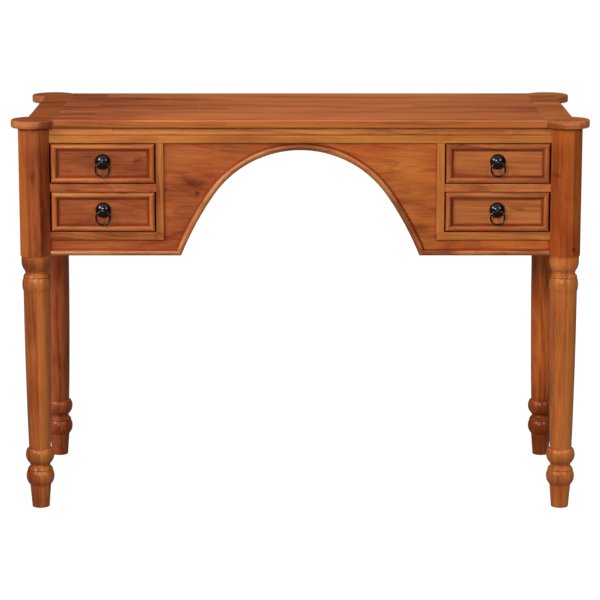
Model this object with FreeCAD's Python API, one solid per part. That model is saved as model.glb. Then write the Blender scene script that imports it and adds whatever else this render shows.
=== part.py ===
import FreeCAD, Part
import math
import os

os.makedirs("parts", exist_ok=True)

# Writing desk on four turned legs, with two drawers on each side of an arched knee space.
# X runs to the right, Y to the back and Z up. The origin is on the floor under the middle of the top.

# Whole desk, in millimetres
desk_width = 1100.0
desk_depth = 500.0
desk_height = 760.0

# Top: a middle panel and two end pieces with a round ear over each leg
top_thickness = 15.0
ear_radius = 43.5
front_overhang = 22.0
side_overhang = 15.0
seam_margin = 3.0
top_edge_radius = 3.0

# Legs: an octagonal post above a turned shaft
post_width = 58.5
post_edge_radius = 1.5
foot_edge_radius = 1.5

# Bands of the front, from the top down
frieze_height = 30.0
frieze_strip_height = 15.0
opening_height = 78.0
rail_height = 15.0
strip_width = 15.0
lower_panel_height = 19.0
bead_width = 11.5

# Frame boards, and how far their faces stand outside the leg axes
panel_thickness = 14.0
panel_offset = 7.5
rail_proud = 2.0
mid_rail_proud = 2.5
strip_proud = 4.5
bead_proud = 7.0
bead_edge = 2.0
strip_radius = 1.5
wall_thickness = 14.0

# Arch over the knee space
arch_bead_width = 13.0
arch_margin = 33.0
arch_head = 0.3
crown_share = 0.88
flank_share = 2.64

# Tenons of the rails and panels in the legs
tenon_thickness = 10.0
tenon_wall = 4.0
tenon_shoulder = 3.0
glue_gap = 0.1

# Drawer openings, runners and battens
opening_width = 202.25
runner_bearing = 14.0
guide_height = 12.0
guide_gap = 0.75
notch_gap = 0.5
runner_gap = 0.4
kick_gap = 2.5

# Drawers
front_gap_side = 2.5
front_gap_end = 1.25
front_thickness = 16.0
front_offset = 6.5
moulding_width = 14.3
moulding_proud = 7.5
moulding_edge = 2.5
moulding_lip_width = 3.3
moulding_lip_height = 1.6
side_thickness = 12.0
lap_depth = 8.0
back_thickness = 12.0
back_drop = 10.0
back_inset = 6.0
dado_depth = 4.0
back_gap = 4.0
bottom_thickness = 5.0
bottom_rise = 8.0
groove_depth = 5.0
groove_gap = 0.2

# Ring pulls
pull_rise = 3.0
boss_radius = 14.75
boss_rim = 1.5
boss_height = 9.0
post_radius = 2.4
post_gap = 0.1
eye_radius = 4.6
eye_stand = 4.4
eye_hole_radius = 2.7
ring_radius = 13.2
ring_wire_radius = 1.7
nut_width = 9.0
nut_thickness = 4.0
post_end = 2.0

# Screws that hold the top
screw_radius = 2.0
screw_head_radius = 4.0
screw_bite = 10.0
screw_gap = 0.1
screw_place_share = 0.3

# How far a cutting shape runs past the face that it cuts
overrun = 1.0

# How close two places are when they count as the same
same_place = 0.05

# A rounded edge takes at most this share of the wall that it is on
rounding_limit_share = 0.8

# Turned part of the leg: radii as shares of half the post's width, and heights as shares of the apron's
# height above the floor. Each table is straight up to its last two points, which are an arc's middle and end.
cup_shares = ((0.974, 1.0), (0.974, 0.976), (0.930, 0.957), (0.790, 0.9405))
upper_flare_shares = ((0.745, 0.940), (0.765, 0.9385), (0.765, 0.9345), (0.735, 0.9335), (0.752, 0.928),
                      (0.795, 0.925))
upper_bulb_shares = ((0.815, 0.9245), (0.885, 0.9165), (0.838, 0.915), (0.872, 0.912), (0.955, 0.890),
                     (0.896, 0.861))
shaft_shares = ((0.879, 0.861), (0.848, 0.581), (0.725, 0.2365))
middle_bulb_shares = ((0.845, 0.2335), (0.947, 0.2155), (0.690, 0.1755))
lower_flare_shares = ((0.660, 0.175), (0.678, 0.174), (0.678, 0.1715), (0.655, 0.1705), (0.680, 0.1645),
                      (0.738, 0.161))
lower_bulb_shares = ((0.758, 0.1605), (0.846, 0.1525), (0.798, 0.1507), (0.830, 0.148), (0.937, 0.1256),
                     (0.720, 0.091))
foot_shares = ((0.700, 0.091), (0.575, 0.0))

# Places worked out from the sizes above
leg_x = desk_width / 2 - ear_radius
leg_y = desk_depth / 2 - ear_radius
half_post = post_width / 2
post_inner_x = leg_x - half_post
post_inner_y = leg_y - half_post
ear_reach = math.sqrt(ear_radius ** 2 - front_overhang ** 2)
seam_x = leg_x - ear_reach - seam_margin
top_edge_y = leg_y + front_overhang

underside = desk_height - top_thickness
frieze_bottom = underside - frieze_height
upper_floor = frieze_bottom - opening_height
lower_ceiling = upper_floor - rail_height
lower_floor = lower_ceiling - opening_height
strip_bottom = lower_floor - strip_width
bead_top = strip_bottom - lower_panel_height
apron_bottom = bead_top - bead_width

panel_y = leg_y + panel_offset
frame_back_y = panel_y - panel_thickness
panel_x = leg_x + panel_offset
side_inner_x = panel_x - panel_thickness
opening_inner_x = post_inner_x - opening_width
wall_x = opening_inner_x - wall_thickness
tenon_length = half_post - tenon_thickness / 2 - tenon_wall

arch_half_width = wall_x - arch_margin
arch_apex = frieze_bottom - arch_bead_width - arch_head
crown_radius = crown_share * arch_half_width
flank_radius = flank_share * arch_half_width
crown_z = arch_apex - crown_radius

front_face_y = leg_y + front_offset
front_back_y = front_face_y - front_thickness
drawer_inner_x = opening_inner_x + front_gap_side
drawer_outer_x = post_inner_x - front_gap_side
drawer_end_y = frame_back_y - back_gap
side_height = opening_height - runner_gap - kick_gap
pull_x = (drawer_inner_x + drawer_outer_x) / 2
eye_out = boss_height + eye_stand
eye_y = -front_face_y - eye_out


def vec(x, y, z):
    return FreeCAD.Vector(x, y, z)


X_AXIS = vec(1, 0, 0)
Y_AXIS = vec(0, 1, 0)
Z_AXIS = vec(0, 0, 1)
ORIGIN = vec(0, 0, 0)


def block(x_low, x_high, y_low, y_high, z_low, z_high):
    return Part.makeBox(x_high - x_low, y_high - y_low, z_high - z_low, vec(x_low, y_low, z_low))


def outline(place, start, steps):
    """A closed face: each step is one point for a straight run, or two for an arc."""
    edges = []
    here = place(*start)
    for step in steps:
        points = [place(*point) for point in step]
        if len(points) == 1:
            edges.append(Part.LineSegment(here, points[0]).toShape())
        else:
            edges.append(Part.Arc(here, points[0], points[1]).toShape())
        here = points[-1]
    return Part.Face(Part.Wire(edges))


def front_plate(start, steps, y_front, y_back):
    """A board parallel to the front, with its outline given in X and Z."""
    face = outline(lambda x, z: vec(x, y_front, z), start, steps)
    return face.extrude(vec(0, y_back - y_front, 0))


def half_round(width, edge, proud):
    """Steps round the section of a strip, from one back corner: across it and out of its seat."""
    return [[(0, edge)], [(width / 2, proud), (width, edge)], [(width, 0)], [(0, 0)]]


def mirror_x(shape):
    return shape.mirror(ORIGIN, X_AXIS)


def mirror_y(shape):
    return shape.mirror(ORIGIN, Y_AXIS)


def round_edges(shape, radius, wall, wanted):
    """Round those edges that the test accepts, by no more than their wall allows."""
    edges = [edge for edge in shape.Edges if wanted(edge)]
    return shape.makeFillet(min(radius, rounding_limit_share * wall), edges)


def at_y(edge, y):
    return all(abs(vertex.Y - y) < same_place for vertex in edge.Vertexes)


def runs_along(edge, axis):
    if not isinstance(edge.Curve, Part.Line):
        return False
    return abs(edge.Curve.Direction.dot(axis)) > math.cos(math.radians(1))


def save(name, *solids):
    shape = solids[0] if len(solids) == 1 else Part.makeCompound(list(solids))
    shape.exportStep("parts/" + name + ".step")


# Top

def rounded_slab(x_low, x_high, outer_x):
    """Part of the top between two X planes, rounded in front, behind and at the outer X plane."""
    slab = block(x_low, x_high, -top_edge_y, top_edge_y, underside, desk_height)

    def outer(edge):
        if runs_along(edge, X_AXIS):
            return True
        if outer_x is None or not runs_along(edge, Y_AXIS):
            return False
        return abs(edge.Vertexes[0].X - outer_x) < same_place

    return round_edges(slab, top_edge_radius, top_thickness / 2, outer)


def ear(y):
    disc = Part.makeCylinder(ear_radius, top_thickness, vec(leg_x, y, underside), Z_AXIS)
    half = top_thickness / 2
    disc = round_edges(disc, top_edge_radius, half, lambda edge: isinstance(edge.Curve, Part.Circle))
    inner = block(0, seam_x, y - ear_radius, y + ear_radius, underside - overrun, desk_height + overrun)
    return disc.cut(inner)


def screw_places():
    """Plan places of the screws on the right: two in the inner batten, two in the outer one."""
    inner_x = opening_inner_x + runner_bearing / 2
    outer_x = (post_inner_x + side_inner_x) / 2
    screw_y = screw_place_share * desk_depth / 2
    return [(x, y) for x in (inner_x, outer_x) for y in (-screw_y, screw_y)]


def screw(x, y, gap):
    """A countersunk screw that points up from under a batten, wider all over by the gap."""
    head_height = screw_head_radius - screw_radius
    length = frieze_height + screw_bite
    shank = Part.makeCylinder(screw_radius + gap, length + gap, vec(x, y, frieze_bottom), Z_AXIS)
    head = Part.makeCone(screw_head_radius + gap, screw_radius + gap, head_height + gap,
                         vec(x, y, frieze_bottom), Z_AXIS)
    return shank.fuse(head).removeSplitter()


def drilled(shape):
    for x, y in screw_places():
        shape = shape.cut(screw(x, y, screw_gap))
    return shape


def make_top():
    end = rounded_slab(seam_x, leg_x + side_overhang, leg_x + side_overhang)
    end = end.fuse([ear(-leg_y), ear(leg_y)]).removeSplitter()
    end = drilled(end)
    save("top_end_right", end)
    save("top_end_left", mirror_x(end))
    middle = drilled(rounded_slab(-seam_x, seam_x, None))
    save("top_middle", mirror_x(drilled(mirror_x(middle))))


# Legs

def leg_profile():
    """Half outline of the turned part, in radius and height, from the cup down to the foot."""
    def sizes(shares):
        return [(radius * half_post, height * apron_bottom) for radius, height in shares]

    steps = []
    for shares in (cup_shares, upper_flare_shares, upper_bulb_shares, shaft_shares, middle_bulb_shares,
                   lower_flare_shares, lower_bulb_shares):
        points = sizes(shares)
        steps += [[point] for point in points[:-2]]
        steps.append(points[-2:])
    foot_top, foot_end = sizes(foot_shares)
    steps.append([foot_top])
    steps.append([(foot_end[0], foot_edge_radius)])
    corner = foot_edge_radius * (1 - math.sqrt(0.5))
    steps.append([(foot_end[0] - corner, corner), (foot_end[0] - foot_edge_radius, 0)])
    steps.append([(0, 0)])
    steps.append([(0, apron_bottom)])
    return steps


def mortise(low, high, along_x):
    """Room in the front right leg for a tenon between two levels, from the side or from behind."""
    half = tenon_thickness / 2 + glue_gap
    low = low + tenon_shoulder - glue_gap
    high = high - tenon_shoulder + glue_gap
    deep = tenon_length + glue_gap
    if along_x:
        return block(post_inner_x - overrun, post_inner_x + deep, -leg_y - half, -leg_y + half, low, high)
    return block(leg_x - half, leg_x + half, -post_inner_y - deep, -post_inner_y + overrun, low, high)


def plain_leg():
    turned = outline(lambda r, z: vec(leg_x + r, -leg_y, z), (0, apron_bottom), leg_profile())
    turned = turned.revolve(vec(leg_x, -leg_y, 0), Z_AXIS, 360)
    corner_radius = half_post / math.cos(math.pi / 8)
    corners = []
    for step in range(8):
        angle = math.pi / 8 + step * math.pi / 4
        x = leg_x + corner_radius * math.cos(angle)
        y = -leg_y + corner_radius * math.sin(angle)
        corners.append(vec(x, y, apron_bottom))
    post = Part.Face(Part.makePolygon(corners + corners[:1]))
    post = post.extrude(vec(0, 0, underside - apron_bottom))
    post = round_edges(post, post_edge_radius, half_post, lambda edge: runs_along(edge, Z_AXIS))
    leg = post.fuse(turned).removeSplitter()
    leg = leg.cut(mortise(apron_bottom, underside, False))
    return leg.cut(mortise(frieze_bottom, underside, True))


def make_legs():
    front = plain_leg().cut(mortise(lower_ceiling, upper_floor, True))
    front = front.cut(mortise(apron_bottom, lower_floor, True))
    back = mirror_y(plain_leg().cut(mortise(apron_bottom, frieze_bottom, True)))
    save("leg_front_right", front)
    save("leg_front_left", mirror_x(front))
    save("leg_back_right", back)
    save("leg_back_left", mirror_x(back))


# Frame boards

def tenon_x(low, high):
    """Tenon into the front right leg from the side."""
    half = tenon_thickness / 2
    return block(post_inner_x, post_inner_x + tenon_length, -leg_y - half, -leg_y + half,
                 low + tenon_shoulder, high - tenon_shoulder)


def tenon_y(low, high):
    """Tenon into the front right leg from behind."""
    half = tenon_thickness / 2
    return block(leg_x - half, leg_x + half, -post_inner_y - tenon_length, -post_inner_y,
                 low + tenon_shoulder, high - tenon_shoulder)


def make_rails():
    tenon = tenon_x(frieze_bottom, underside)
    rail = block(-post_inner_x, post_inner_x, -panel_y - rail_proud, -frame_back_y, frieze_bottom, underside)
    rail = rail.fuse([tenon, mirror_x(tenon)]).removeSplitter()
    save("front_rail", rail)
    save("back_rail", mirror_y(rail))
    mid = block(opening_inner_x, post_inner_x, -panel_y - mid_rail_proud, -frame_back_y,
                lower_ceiling, upper_floor)
    mid = mid.fuse(tenon_x(lower_ceiling, upper_floor)).removeSplitter()
    save("drawer_rails", mid, mirror_x(mid))


def arch_angle():
    """Angle from the vertical at which the crown meets the flank that reaches the arch's foot."""
    drop = apron_bottom - crown_z
    reach = math.hypot(arch_half_width, drop)
    spare = flank_radius - crown_radius
    share = (flank_radius ** 2 - spare ** 2 - reach ** 2) / (2 * spare * reach)
    return math.atan2(arch_half_width, drop) - math.acos(share)


def flank_centre():
    """Centre of the right flank's arc, in X and Z."""
    turn = arch_angle()
    spare = flank_radius - crown_radius
    return -spare * math.sin(turn), crown_z - spare * math.cos(turn)


def flank_end(offset, level):
    """Angle from the vertical at which the flank, moved outwards, comes down to a level."""
    return math.acos((level - flank_centre()[1]) / (flank_radius + offset))


def arch_points(offset, level):
    """Right half of the arch, moved outwards: apex, crown end, flank middle and the end at a level."""
    turn = arch_angle()
    flank_x, flank_z = flank_centre()
    crown = crown_radius + offset
    flank = flank_radius + offset
    end_turn = flank_end(offset, level)
    middle_turn = (turn + end_turn) / 2
    apex = (0, crown_z + crown)
    crown_end = (crown * math.sin(turn), crown_z + crown * math.cos(turn))
    middle = (flank_x + flank * math.sin(middle_turn), flank_z + flank * math.cos(middle_turn))
    end = (flank_x + flank * math.sin(end_turn), level)
    return apex, crown_end, middle, end


def swap(point):
    return (-point[0], point[1])


def arch_steps(offset, level):
    """The whole arch from its left end to its right end."""
    apex, crown_end, middle, end = arch_points(offset, level)
    return swap(end), [[swap(middle), swap(crown_end)], [apex, crown_end], [middle, end]]


def arch_void():
    """What the arch leaves open, through the front panel."""
    start, steps = arch_steps(0, apron_bottom - overrun)
    return front_plate(start, steps + [[start]], -panel_y - overrun, -frame_back_y + overrun)


def make_panels():
    front_steps = [[(opening_inner_x, frieze_bottom)], [(opening_inner_x, lower_floor)],
                   [(post_inner_x, lower_floor)], [(post_inner_x, apron_bottom)],
                   [(0, apron_bottom)], [(0, frieze_bottom)]]
    front = front_plate((0, frieze_bottom), front_steps, -panel_y, -frame_back_y)
    front = front.cut(arch_void()).fuse(tenon_x(apron_bottom, lower_floor)).removeSplitter()
    save("front_panel_right", front)
    save("front_panel_left", mirror_x(front))
    back = block(0, post_inner_x, -panel_y, -frame_back_y, apron_bottom, frieze_bottom)
    back = back.cut(arch_void()).fuse(tenon_x(apron_bottom, frieze_bottom)).removeSplitter()
    back = mirror_y(back)
    save("back_panel_right", back)
    save("back_panel_left", mirror_x(back))
    tenon = tenon_y(apron_bottom, underside)
    side = block(side_inner_x, panel_x, -post_inner_y, post_inner_y, apron_bottom, underside)
    side = side.fuse([tenon, mirror_y(tenon)]).removeSplitter()
    save("side_panel_right", side)
    save("side_panel_left", mirror_x(side))
    wall = block(wall_x, opening_inner_x, -frame_back_y, frame_back_y, apron_bottom, underside)
    save("bank_side_right", wall)
    save("bank_side_left", mirror_x(wall))


# Applied strips and beads

def rounded_strip(start, steps, y_front, y_back, width, radius, axis):
    """A strip on the front, with its long front edges rounded."""
    strip = front_plate(start, steps, y_front, y_back)
    wall = min(y_back - y_front, width / 2)
    return round_edges(strip, radius, wall, lambda edge: at_y(edge, y_front) and runs_along(edge, axis))


def side_strip(low, high, proud, radius):
    """A strip on the outer face of the right side panel, with its long outer edges rounded."""
    strip = block(panel_x, panel_x + proud, -post_inner_y, post_inner_y, low, high)

    def outer(edge):
        return runs_along(edge, Y_AXIS) and edge.Vertexes[0].X > panel_x + proud / 2

    return round_edges(strip, radius, min(proud, (high - low) / 2), outer)


def make_frieze_strips():
    top = frieze_bottom + frieze_strip_height
    y_front = -panel_y - strip_proud
    steps = [[(post_inner_x, frieze_bottom)], [(post_inner_x, top)], [(-post_inner_x, top)],
             [(-post_inner_x, frieze_bottom)]]
    front = rounded_strip((-post_inner_x, frieze_bottom), steps, y_front, -panel_y - rail_proud,
                          frieze_strip_height, strip_radius, X_AXIS)
    side = side_strip(frieze_bottom, top, strip_proud, strip_radius)
    save("frieze_strips", front, mirror_y(front), side, mirror_x(side))


def make_frame_strips():
    y_front = -panel_y - strip_proud
    inner_x = opening_inner_x - strip_width
    upright_steps = [[(opening_inner_x, frieze_bottom)], [(opening_inner_x, lower_floor)],
                     [(inner_x, strip_bottom)], [(inner_x, frieze_bottom)]]
    upright = rounded_strip((inner_x, frieze_bottom), upright_steps, y_front, -panel_y,
                            strip_width, strip_radius, Z_AXIS)
    lower_steps = [[(opening_inner_x, lower_floor)], [(post_inner_x, lower_floor)],
                   [(post_inner_x, strip_bottom)], [(inner_x, strip_bottom)]]
    lower = rounded_strip((inner_x, strip_bottom), lower_steps, y_front, -panel_y,
                          strip_width, strip_radius, X_AXIS)
    save("frame_strips", upright, lower, mirror_x(upright), mirror_x(lower))


def bead_along(centre, radius, begin, end):
    """A half-round bead round an arc of the front, between two angles from the vertical."""
    def place(across, out):
        reach = radius + across
        return vec(centre[0] + reach * math.sin(begin), -panel_y - out, centre[1] + reach * math.cos(begin))

    section = outline(place, (0, 0), half_round(arch_bead_width, bead_edge, bead_proud))
    return section.revolve(vec(centre[0], 0, centre[1]), Y_AXIS, math.degrees(end - begin))


def mitre_ends():
    """Inner and outer end of the mitre at the arch's right foot."""
    return arch_points(0, apron_bottom)[-1], arch_points(arch_bead_width, bead_top)[-1]


def arch_bead():
    """The bead round the arch, cut at each foot to its mitre."""
    turn = arch_angle()
    crown = bead_along((0, crown_z), crown_radius, -turn, turn)
    flank = bead_along(flank_centre(), flank_radius, turn, flank_end(0, apron_bottom))
    bead = crown.fuse([flank, mirror_x(flank)]).removeSplitter()
    foot, mitre = mitre_ends()
    run_x = mitre[0] - foot[0]
    run_z = mitre[1] - foot[1]
    low = (foot[0] - run_x, foot[1] - run_z)
    high = (mitre[0] + run_x, mitre[1] + run_z)
    steps = [[high], [(high[0], low[1])], [low]]
    beyond = front_plate(low, steps, -panel_y - bead_proud - overrun, -panel_y + overrun)
    return bead.cut([beyond, mirror_x(beyond)])


def bottom_bead():
    foot, mitre = mitre_ends()
    steps = [[(post_inner_x, apron_bottom)], [(post_inner_x, bead_top)], [mitre], [foot]]
    plate = front_plate(foot, steps, -panel_y - bead_proud - overrun, -panel_y)

    def place(across, out):
        return vec(foot[0], -panel_y - out, apron_bottom + across)

    section = outline(place, (0, 0), half_round(bead_width, bead_edge, bead_proud))
    return section.extrude(vec(post_inner_x - foot[0], 0, 0)).common(plate)


def make_beads():
    arch = arch_bead()
    bottom = bottom_bead()
    front = [arch, bottom, mirror_x(bottom)]
    back = [mirror_y(bead) for bead in front]
    section = outline(lambda across, out: vec(panel_x + out, -post_inner_y, apron_bottom + across), (0, 0),
                      half_round(bead_width, bead_edge, bead_proud))
    side = section.extrude(vec(0, post_inner_y + post_inner_y, 0))
    save("edge_beads", *front, *back, side, mirror_x(side))


# Inside of a drawer bank

def notched_bar(low, high):
    """A bar along the side panel, as wide as the outer drawer side's bearing, cut round both posts."""
    bar = block(post_inner_x - runner_bearing, side_inner_x, -frame_back_y, frame_back_y, low, high)
    notch = block(post_inner_x - notch_gap, side_inner_x + overrun, post_inner_y - notch_gap,
                  frame_back_y + overrun, low - overrun, high + overrun)
    return bar.cut([notch, mirror_y(notch)])


def inner_bar(low, high):
    """A bar along the bank's inner side."""
    return block(opening_inner_x, opening_inner_x + runner_bearing, -frame_back_y, frame_back_y, low, high)


def make_runners():
    guide_x = drawer_outer_x + guide_gap
    guide_y = post_inner_y - notch_gap
    runners = []
    for floor in (upper_floor, lower_floor):
        runners.append(notched_bar(floor - rail_height, floor))
        runners.append(block(guide_x, side_inner_x, -guide_y, guide_y, floor, floor + guide_height))
        runners.append(inner_bar(floor - rail_height, floor))
    save("drawer_runners", *runners, *[mirror_x(runner) for runner in runners])


def make_battens():
    battens = [drilled(notched_bar(frieze_bottom, underside)), drilled(inner_bar(frieze_bottom, underside))]
    save("top_battens", *battens, *[mirror_x(batten) for batten in battens])
    screws = [screw(x, y, 0) for x, y in screw_places()]
    save("top_screws", *screws, *[mirror_x(one) for one in screws])


# Drawers

def drawer_front(floor, ceiling):
    """Front board, lapped over the sides and grooved for the bottom."""
    low = floor + front_gap_end
    board = block(drawer_inner_x, drawer_outer_x, -front_face_y, -front_back_y, low, ceiling - front_gap_end)
    lap_front = -front_back_y - lap_depth - glue_gap
    lap_width = side_thickness + glue_gap
    for x in (drawer_inner_x - overrun, drawer_outer_x - lap_width):
        board = board.cut(block(x, x + lap_width + overrun, lap_front, -front_back_y + overrun,
                                low - overrun, ceiling))
    groove = bottom_space(floor, groove_gap)
    hole = Part.makeCylinder(post_radius + post_gap, front_thickness + overrun + overrun,
                             vec(pull_x, -front_face_y - overrun, pull_z(floor)), Y_AXIS)
    return board.cut([groove, hole])


def moulding_steps():
    """Steps round the section of a moulding, from its outer edge: a half round, then a low lip inside it."""
    bead = moulding_width - moulding_lip_width
    crown = half_round(bead, moulding_edge, moulding_proud)[:2]
    lip = [[(bead, moulding_lip_height)], [(moulding_width, moulding_lip_height)]]
    return crown + lip + [[(moulding_width, 0)], [(0, 0)]]


def drawer_moulding(floor, ceiling):
    """Four mitred moulding strips round the face of the front board."""
    z_low = floor + front_gap_end
    z_high = ceiling - front_gap_end

    def corners(inset):
        x_range = (drawer_inner_x + inset, drawer_outer_x - inset)
        z_range = (z_low + inset, z_high - inset)
        return [(x_range[i], z_range[j]) for i, j in ((0, 0), (1, 0), (1, 1), (0, 1))]

    outer = corners(0)
    inner = corners(moulding_width)
    strips = []
    for side in range(4):
        after = (side + 1) % 4
        start = outer[side]
        length = math.dist(start, outer[after])
        along_x = (outer[after][0] - start[0]) / length
        along_z = (outer[after][1] - start[1]) / length

        def place(across, out):
            return vec(start[0] - across * along_z, -front_face_y - out, start[1] + across * along_x)

        section = outline(place, (0, 0), moulding_steps())
        bar = section.extrude(vec(along_x * length, 0, along_z * length))
        steps = [[outer[after]], [inner[after]], [inner[side]], [start]]
        plate = front_plate(start, steps, -front_face_y - moulding_proud - overrun, -front_face_y)
        strips.append(bar.common(plate))
    return strips


def bottom_space(floor, gap):
    """The bottom board, thicker and longer all round by the gap."""
    low = floor + runner_gap + bottom_rise
    high = low + bottom_thickness
    inset = side_thickness - groove_depth
    return block(drawer_inner_x + inset - gap, drawer_outer_x - inset + gap,
                 -front_back_y - groove_depth - gap, drawer_end_y + gap, low - gap, high + gap)


def back_space(floor, gap):
    """The back board, which stands on the bottom board and is let into both sides."""
    low = floor + runner_gap + bottom_rise + bottom_thickness + groove_gap
    high = floor + runner_gap + side_height - back_drop
    inset = side_thickness - dado_depth
    rear = drawer_end_y - back_inset
    return block(drawer_inner_x + inset - gap, drawer_outer_x - inset + gap,
                 rear - back_thickness - gap, rear + gap, low - gap, high + gap)


def drawer_side(x_low, floor):
    low = floor + runner_gap
    board = block(x_low, x_low + side_thickness, -front_back_y - lap_depth, drawer_end_y,
                  low, low + side_height)
    return board.cut([bottom_space(floor, groove_gap), back_space(floor, glue_gap)])


def pull_z(floor):
    return floor + opening_height / 2 + pull_rise


def pull_boss(floor):
    """Domed boss with a thin rim, bored for the post."""
    bore = post_radius + post_gap
    rise = boss_height - boss_rim
    dome_radius = (boss_radius ** 2 + rise ** 2) / (2 * rise)

    def dome(radius):
        return (radius, boss_height - dome_radius + math.sqrt(dome_radius ** 2 - radius ** 2))

    steps = [[(boss_radius, 0)], [(boss_radius, boss_rim)], [dome(boss_radius / 2), dome(bore)], [(bore, 0)]]
    z = pull_z(floor)
    face = outline(lambda r, out: vec(pull_x + r, -front_face_y - out, z), (bore, 0), steps)
    return face.revolve(vec(pull_x, 0, z), Y_AXIS, 360)


def pull_post(floor):
    """Ball with a cross hole for the ring, on a shank through the boss and the front, and its nut."""
    z = pull_z(floor)
    nut_y = -front_back_y
    ball_end = eye_out - math.sqrt(eye_radius ** 2 - post_radius ** 2)
    shank_end = -front_thickness - nut_thickness - post_end
    steps = [[(eye_radius, eye_out), (post_radius, ball_end)], [(post_radius, shank_end)], [(0, shank_end)],
             [(0, eye_out + eye_radius)]]
    face = outline(lambda r, out: vec(pull_x, -front_face_y - out, z + r), (0, eye_out + eye_radius), steps)
    post = face.revolve(vec(pull_x, 0, z), Y_AXIS, 360)
    hole = Part.makeCylinder(eye_hole_radius, eye_radius * 2, vec(pull_x - eye_radius, eye_y, z), X_AXIS)
    post = post.cut(hole)
    nut_radius = nut_width / 2 / math.cos(math.pi / 6)
    corners = []
    for step in range(6):
        angle = step * math.pi / 3
        corners.append(vec(pull_x + nut_radius * math.cos(angle), nut_y, z + nut_radius * math.sin(angle)))
    nut = Part.Face(Part.makePolygon(corners + corners[:1])).extrude(vec(0, nut_thickness, 0))
    bore = Part.makeCylinder(post_radius + post_gap, nut_thickness, vec(pull_x, nut_y, z), Y_AXIS)
    return post, nut.cut(bore)


def pull_ring(floor):
    centre = vec(pull_x, eye_y, pull_z(floor) - ring_radius)
    return Part.makeTorus(ring_radius, ring_wire_radius, centre, Y_AXIS)


def make_drawer(level, floor, ceiling):
    """One level of drawers: the right one as drawn and the left one as its mirror image."""
    pieces = {
        "drawer_front": [drawer_front(floor, ceiling)],
        "drawer_moulding": drawer_moulding(floor, ceiling),
        "drawer_inner_side": [drawer_side(drawer_inner_x, floor)],
        "drawer_outer_side": [drawer_side(drawer_outer_x - side_thickness, floor)],
        "drawer_back": [back_space(floor, 0)],
        "drawer_bottom": [bottom_space(floor, 0)],
        "pull_boss": [pull_boss(floor)],
        "pull_post": pull_post(floor),
        "pull_ring": [pull_ring(floor)],
    }
    for piece, solids in pieces.items():
        save(level + "_right_" + piece, *solids)
        save(level + "_left_" + piece, *[mirror_x(solid) for solid in solids])


make_top()
make_legs()
make_rails()
make_panels()
make_frieze_strips()
make_frame_strips()
make_beads()
make_runners()
make_battens()
make_drawer("upper", upper_floor, frieze_bottom)
make_drawer("lower", lower_floor, lower_ceiling)
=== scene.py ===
import bpy
import math
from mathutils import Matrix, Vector


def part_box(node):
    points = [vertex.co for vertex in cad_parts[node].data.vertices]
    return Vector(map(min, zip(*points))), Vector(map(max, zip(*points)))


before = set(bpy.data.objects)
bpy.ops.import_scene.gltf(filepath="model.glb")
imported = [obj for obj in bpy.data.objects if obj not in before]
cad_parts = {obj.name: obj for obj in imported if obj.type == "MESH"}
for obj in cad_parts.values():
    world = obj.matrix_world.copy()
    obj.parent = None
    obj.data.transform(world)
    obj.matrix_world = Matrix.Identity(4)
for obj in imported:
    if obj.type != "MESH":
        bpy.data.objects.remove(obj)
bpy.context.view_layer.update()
bpy.ops.object.select_all(action="DESELECT")

# Objects are in metres, in the desk's own frame. Patterns and marks are in millimetres.
MM_PER_M = 1000.0
ANYWHERE = 1e5

# Camera: the photograph's place, tilt and lens
CAMERA_PLACE = (-0.0005, -5.1414, 1.3698)
CAMERA_TILT = math.radians(11.008)
CAMERA_LENS = 156.69
CAMERA_SENSOR = 36.0

# Studio: a pale floor, a dim room that is lighter overhead and a little behind, and four softboxes
FLOOR_SIZE = 14.0
FLOOR_GLOW = 0.9
LIGHT_AIM = (0.0, 0.0, 0.5)
SOFTBOXES = {
    "left_softbox": {"place": (-2.5, -2.1, 2.1), "size": 1.0, "power": 58.0, "glossy": True},
    "front_softbox": {"place": (-0.85, -3.3, 1.6), "size": 0.7, "power": 45.0, "glossy": True},
    "right_softbox": {"place": (2.0, -2.9, 1.9), "size": 0.9, "power": 28.0, "glossy": True},
    "back_softbox": {"place": (1.3, 3.2, 1.5), "size": 1.2, "power": 36.0, "glossy": False},
}
ROOM_LOW = 0.012
ROOM_HIGH = 0.8
ROOM_RISE = (0.35, 0.95)
BACK_GLOW = 0.05
BACK_GLOW_AIM = (0.0, 0.97, 0.22)
BACK_GLOW_EDGE = 0.985

# Stain of each kind of piece, as it shows in even light
STAINS = {
    "top": "#c3693a",
    "top_edge": "#9b552a",
    "frieze": "#c2763e",
    "frieze_strip": "#ab652c",
    "panel_left": "#9b4d26",
    "panel_right": "#ab5a28",
    "drawer_left": "#934a26",
    "drawer_right": "#b06434",
    "moulding_left": "#a45c2e",
    "moulding_right": "#9f5830",
    "strip": "#a9632f",
    "rail": "#ac6034",
    "bead": "#b87040",
    "lining": "#c1945f",
}

# Dark, light and red wood, painted corner shade, and painted shade on lips and creases, each as a share of
# the stain's own colour
DARK_SHIFT = (0.46, 0.34, 0.28, 1.0)
LIGHT_SHIFT = (1.42, 1.68, 1.5, 1.0)
RED_SHIFT = (1.0, 0.84, 0.85, 1.0)
CORNER_SHADE_SHIFT = (0.85, 0.27, 0.06, 1.0)
LIP_SHADE_SHIFT = (0.44, 0.2, 0.07, 1.0)

# Lacquer: tint, roughness, reach of the painted corner shade and of the lighter edges in metres, and gain of
# the edges, which is partly rubbed lacquer and partly painted highlight
AMBER = (1.0, 0.74, 0.52, 1.0)
SATIN = 0.315
CORNER_SHADE_REACH = 0.0045
EDGE_WEAR_AND_HIGHLIGHT_REACH = 0.0025
EDGE_WEAR_AND_HIGHLIGHT_GAIN = 1.22

# Length and width of each part of the wood's figure
BENDS = (290.0, 95.0)
CLOUDS = (120.0, 46.0)
STREAKS = (170.0, 8.0)
LINES = (240.0, 3.4)
# Fibres and pores are drawn about four times as coarse as real ones, which are too fine to show
FIBRES = (42.0, 1.7)
PORES = (11.0, 0.9)

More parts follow.
